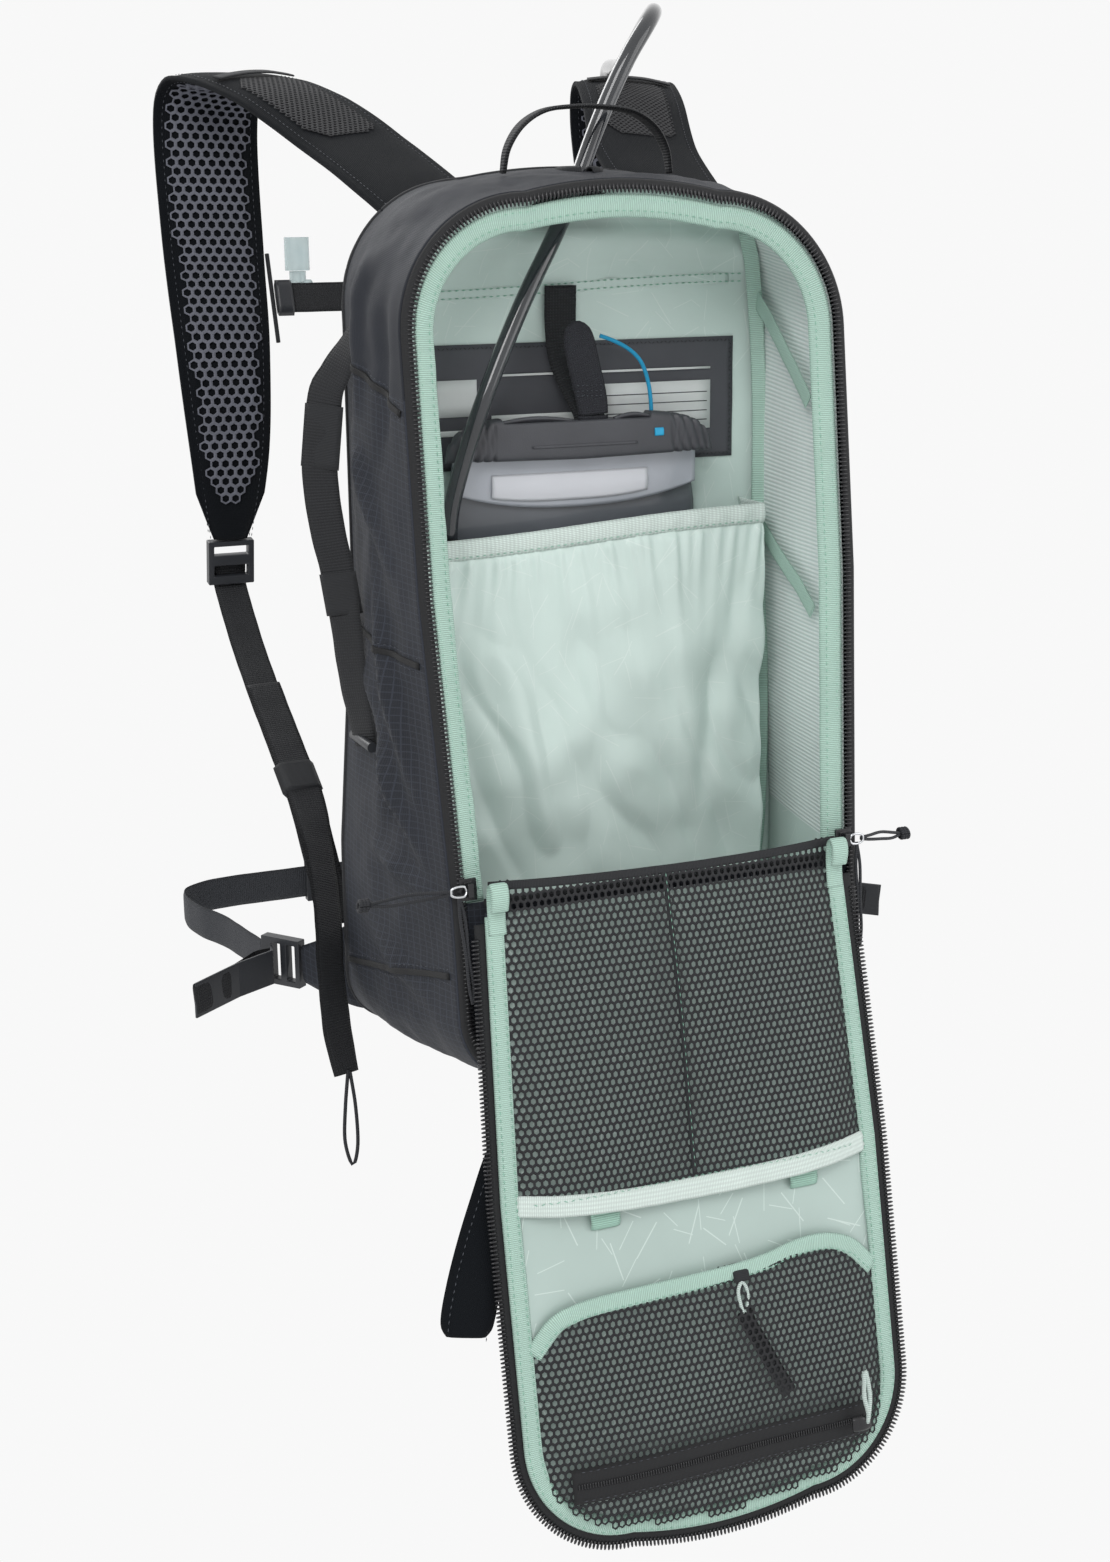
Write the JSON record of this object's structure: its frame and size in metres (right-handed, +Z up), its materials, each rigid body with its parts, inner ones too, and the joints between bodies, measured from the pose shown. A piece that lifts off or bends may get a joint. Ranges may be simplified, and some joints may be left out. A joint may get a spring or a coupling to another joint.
{
  "type": "hydration pack",
  "caption": "Slim backpack whose zipped front panel folds down, with mesh pockets inside the panel, a drinking reservoir on a hanger, and a shoulder and waist harness.",
  "frame": {"origin": "underside of the haul loop's top, where a hook bears", "axes": "+Z up as the pack hangs, -Y towards the opening side, +Y towards the wearer, X across the pack"},
  "size_m": [0.4288, 0.4631, 0.766],
  "materials": {
    "shell_fabric": "slate-black ripstop",
    "panel_fabric": "plain black cloth",
    "pad_mesh": "grey spacer mesh over foam",
    "zip_tape": "black zip tape with coil teeth",
    "lining": "pale green lining",
    "binding": "mint grosgrain binding",
    "patch": "dark coated patch",
    "webbing": "black webbing",
    "strap_fabric": "padded strap fabric",
    "mesh_net": "black pocket mesh",
    "buckle": "black acetal",
    "zip_metal": "black painted zip slider",
    "pull_cord": "cord zip pull",
    "bladder_film": "smoky film",
    "bladder_fittings": "grey film and fittings",
    "hose": "smoky tube",
    "valve": "black valve body",
    "mouthpiece": "clear silicone",
    "lanyard": "blue lanyard"
  },
  "bodies": {
    "pack": {"top_panel": "shell_fabric", "base_panel": "shell_fabric", "side_panels": "shell_fabric", "back_panel": "panel_fabric", "lower_front_panel": "shell_fabric", "zip_tape_body": "zip_tape", "rim_binding": "binding", "back_pads": "pad_mesh", "bag_lining": "lining", "inner_bindings": "binding", "label_patch": "patch", "hydration_sleeve": "lining", "reservoir_bladder": "bladder_film", "reservoir_fittings": "bladder_fittings", "hanger_base": "webbing", "drink_hose": "hose", "bite_valve_body": "valve", "hose_port": "buckle", "shoulder_strap_left": "strap_fabric", "shoulder_strap_right": "strap_fabric", "strap_meshes": "pad_mesh", "strap_webbings": "webbing", "strap_keepers": "webbing", "side_straps": "webbing", "waist_strap_left": "webbing", "waist_strap_right": "webbing", "waist_buckle_female": "buckle", "hip_fins": "shell_fabric"},
    "flap": {"flap_panel": "panel_fabric", "flap_lining": "lining", "zip_tape_flap": "zip_tape", "flap_binding": "binding", "upper_mesh_pocket": "mesh_net", "lower_mesh_pocket": "mesh_net", "pocket_bindings": "binding", "webbing_tabs": "binding", "gear_tab": "panel_fabric"},
    "pocket_slider": {"pocket_zip_slider": "zip_metal"},
    "key_clip": {"key_clip": "webbing"},
    "slider_left": {"zip_slider_left": "zip_metal"},
    "slider_right": {"zip_slider_right": "zip_metal"},
    "pull_left": {"zip_pull_left": "pull_cord"},
    "pull_right": {"zip_pull_right": "pull_cord"},
    "haul_loop": {"haul_loop": "webbing"},
    "hanger_tab": {"hanger_tab": "webbing"},
    "closure_bar": {"closure_bar": "buckle", "lanyard": "lanyard"},
    "mouthpiece": {"bite_valve_mouthpiece": "mouthpiece"},
    "sternum_left": {"sternum_strap_left": "webbing", "sternum_buckle_female": "buckle"},
    "sternum_right": {"sternum_strap_right": "webbing"},
    "sternum_male": {"sternum_buckle_male": "buckle"},
    "waist_male": {"waist_buckle_male": "buckle"},
    "waist_keeper": {"waist_keeper": "buckle"},
    "waist_lock_left": {"waist_lock_left": "buckle"},
    "waist_lock_right": {"waist_lock_right": "buckle"},
    "strap_lock_left": {"strap_lock_left": "buckle"},
    "strap_lock_right": {"strap_lock_right": "buckle"},
    "toggle_left": {"toggle_bar_left": "buckle"},
    "toggle_right": {"toggle_bar_right": "buckle"}
  },
  "joints": [
    {"name": "flap_fold", "type": "hinge", "parent": "pack", "child": "flap", "pos_m": [0, -0.09396, -0.37826], "axis": [-1, 0, 0], "range_deg": [0, 175]},
    {"name": "pocket_zip_slide", "type": "slide", "parent": "flap", "child": "pocket_slider", "axis": [-1, 0, 0], "range_m": [0, 0.14]},
    {"name": "key_clip_swing", "type": "hinge", "parent": "flap", "child": "key_clip", "pos_m": [0.018, -0.15046, -0.58121], "axis": [0, 0.9755, -0.2198], "range_deg": [-15, 15]},
    {"name": "zip_slide_left", "type": "slide", "parent": "pack", "child": "slider_left", "axis": [-0.0426, 0.1339, 0.9901], "range_m": [0, 0.108]},
    {"name": "zip_slide_right", "type": "slide", "parent": "pack", "child": "slider_right", "axis": [0.0426, 0.1339, 0.9901], "range_m": [0, 0.108]},
    {"name": "pull_turn_left", "type": "hinge", "parent": "slider_left", "child": "pull_left", "pos_m": [-0.1056, -0.09554, -0.37048], "axis": [1, 0, 0], "range_deg": [-30, 0]},
    {"name": "pull_turn_right", "type": "hinge", "parent": "slider_right", "child": "pull_right", "pos_m": [0.1056, -0.09554, -0.37048], "axis": [1, 0, 0], "range_deg": [-30, 0]},
    {"name": "haul_loop_swing", "type": "hinge", "parent": "pack", "child": "haul_loop", "pos_m": [0, 0, -0.0308], "axis": [1, 0, 0], "range_deg": [0, 60]},
    {"name": "hanger_tab_peel", "type": "hinge", "parent": "pack", "child": "hanger_tab", "pos_m": [0.006, 0.0081, -0.1528], "axis": [1, 0, 0], "range_deg": [0, 90]},
    {"name": "closure_bar_slide", "type": "slide", "parent": "pack", "child": "closure_bar", "axis": [1, 0, 0], "range_m": [0, 0.025]},
    {"name": "mouthpiece_turn", "type": "hinge", "parent": "pack", "child": "mouthpiece", "pos_m": [-0.082, 0.256, -0.0948], "axis": [0, 0, 1], "range_deg": [0, 90]},
    {"name": "sternum_height", "type": "slide", "parent": "pack", "child": "sternum_left", "axis": [0, 0.3305, 0.9438], "range_m": [-0.015, 0.015]},
    {"name": "sternum_height_right", "type": "slide", "parent": "pack", "child": "sternum_right", "axis": [0, 0.3305, 0.9438], "range_m": [-0.015, 0.015]},
    {"name": "sternum_buckle_open", "type": "slide", "parent": "sternum_right", "child": "sternum_male", "axis": [1, 0, 0], "range_m": [0, 0.022]},
    {"name": "waist_buckle_open", "type": "slide", "parent": "pack", "child": "waist_male", "axis": [1, 0, 0], "range_m": [0, 0.028]},
    {"name": "waist_keeper_slide", "type": "slide", "parent": "pack", "child": "waist_keeper", "axis": [1, 0, 0], "range_m": [-0.015, 0.03]},
    {"name": "waist_lock_tilt_left", "type": "hinge", "parent": "pack", "child": "waist_lock_left", "pos_m": [-0.148, 0.068, -0.4568], "axis": [0, 0, 1], "range_deg": [-8, 8]},
    {"name": "waist_lock_tilt_right", "type": "hinge", "parent": "pack", "child": "waist_lock_right", "pos_m": [0.148, 0.068, -0.4568], "axis": [0, 0, -1], "range_deg": [-8, 8]},
    {"name": "strap_lock_tilt_left", "type": "hinge", "parent": "pack", "child": "strap_lock_left", "pos_m": [-0.138, 0.23, -0.2388], "axis": [1, 0, 0], "range_deg": [-10, 10]},
    {"name": "strap_lock_tilt_right", "type": "hinge", "parent": "pack", "child": "strap_lock_right", "pos_m": [0.138, 0.23, -0.2388], "axis": [1, 0, 0], "range_deg": [-10, 10]},
    {"name": "toggle_turn_left", "type": "hinge", "parent": "pack", "child": "toggle_left", "pos_m": [-0.129, -0.001, -0.3138], "axis": [1, 0, 0], "range_deg": [-30, 30]},
    {"name": "toggle_turn_right", "type": "hinge", "parent": "pack", "child": "toggle_right", "pos_m": [0.129, -0.001, -0.3138], "axis": [1, 0, 0], "range_deg": [-30, 30]}
  ],
  "couplings": [
    {"joint": "sternum_height_right", "follows": "sternum_height", "ratio": 1}
  ]
}
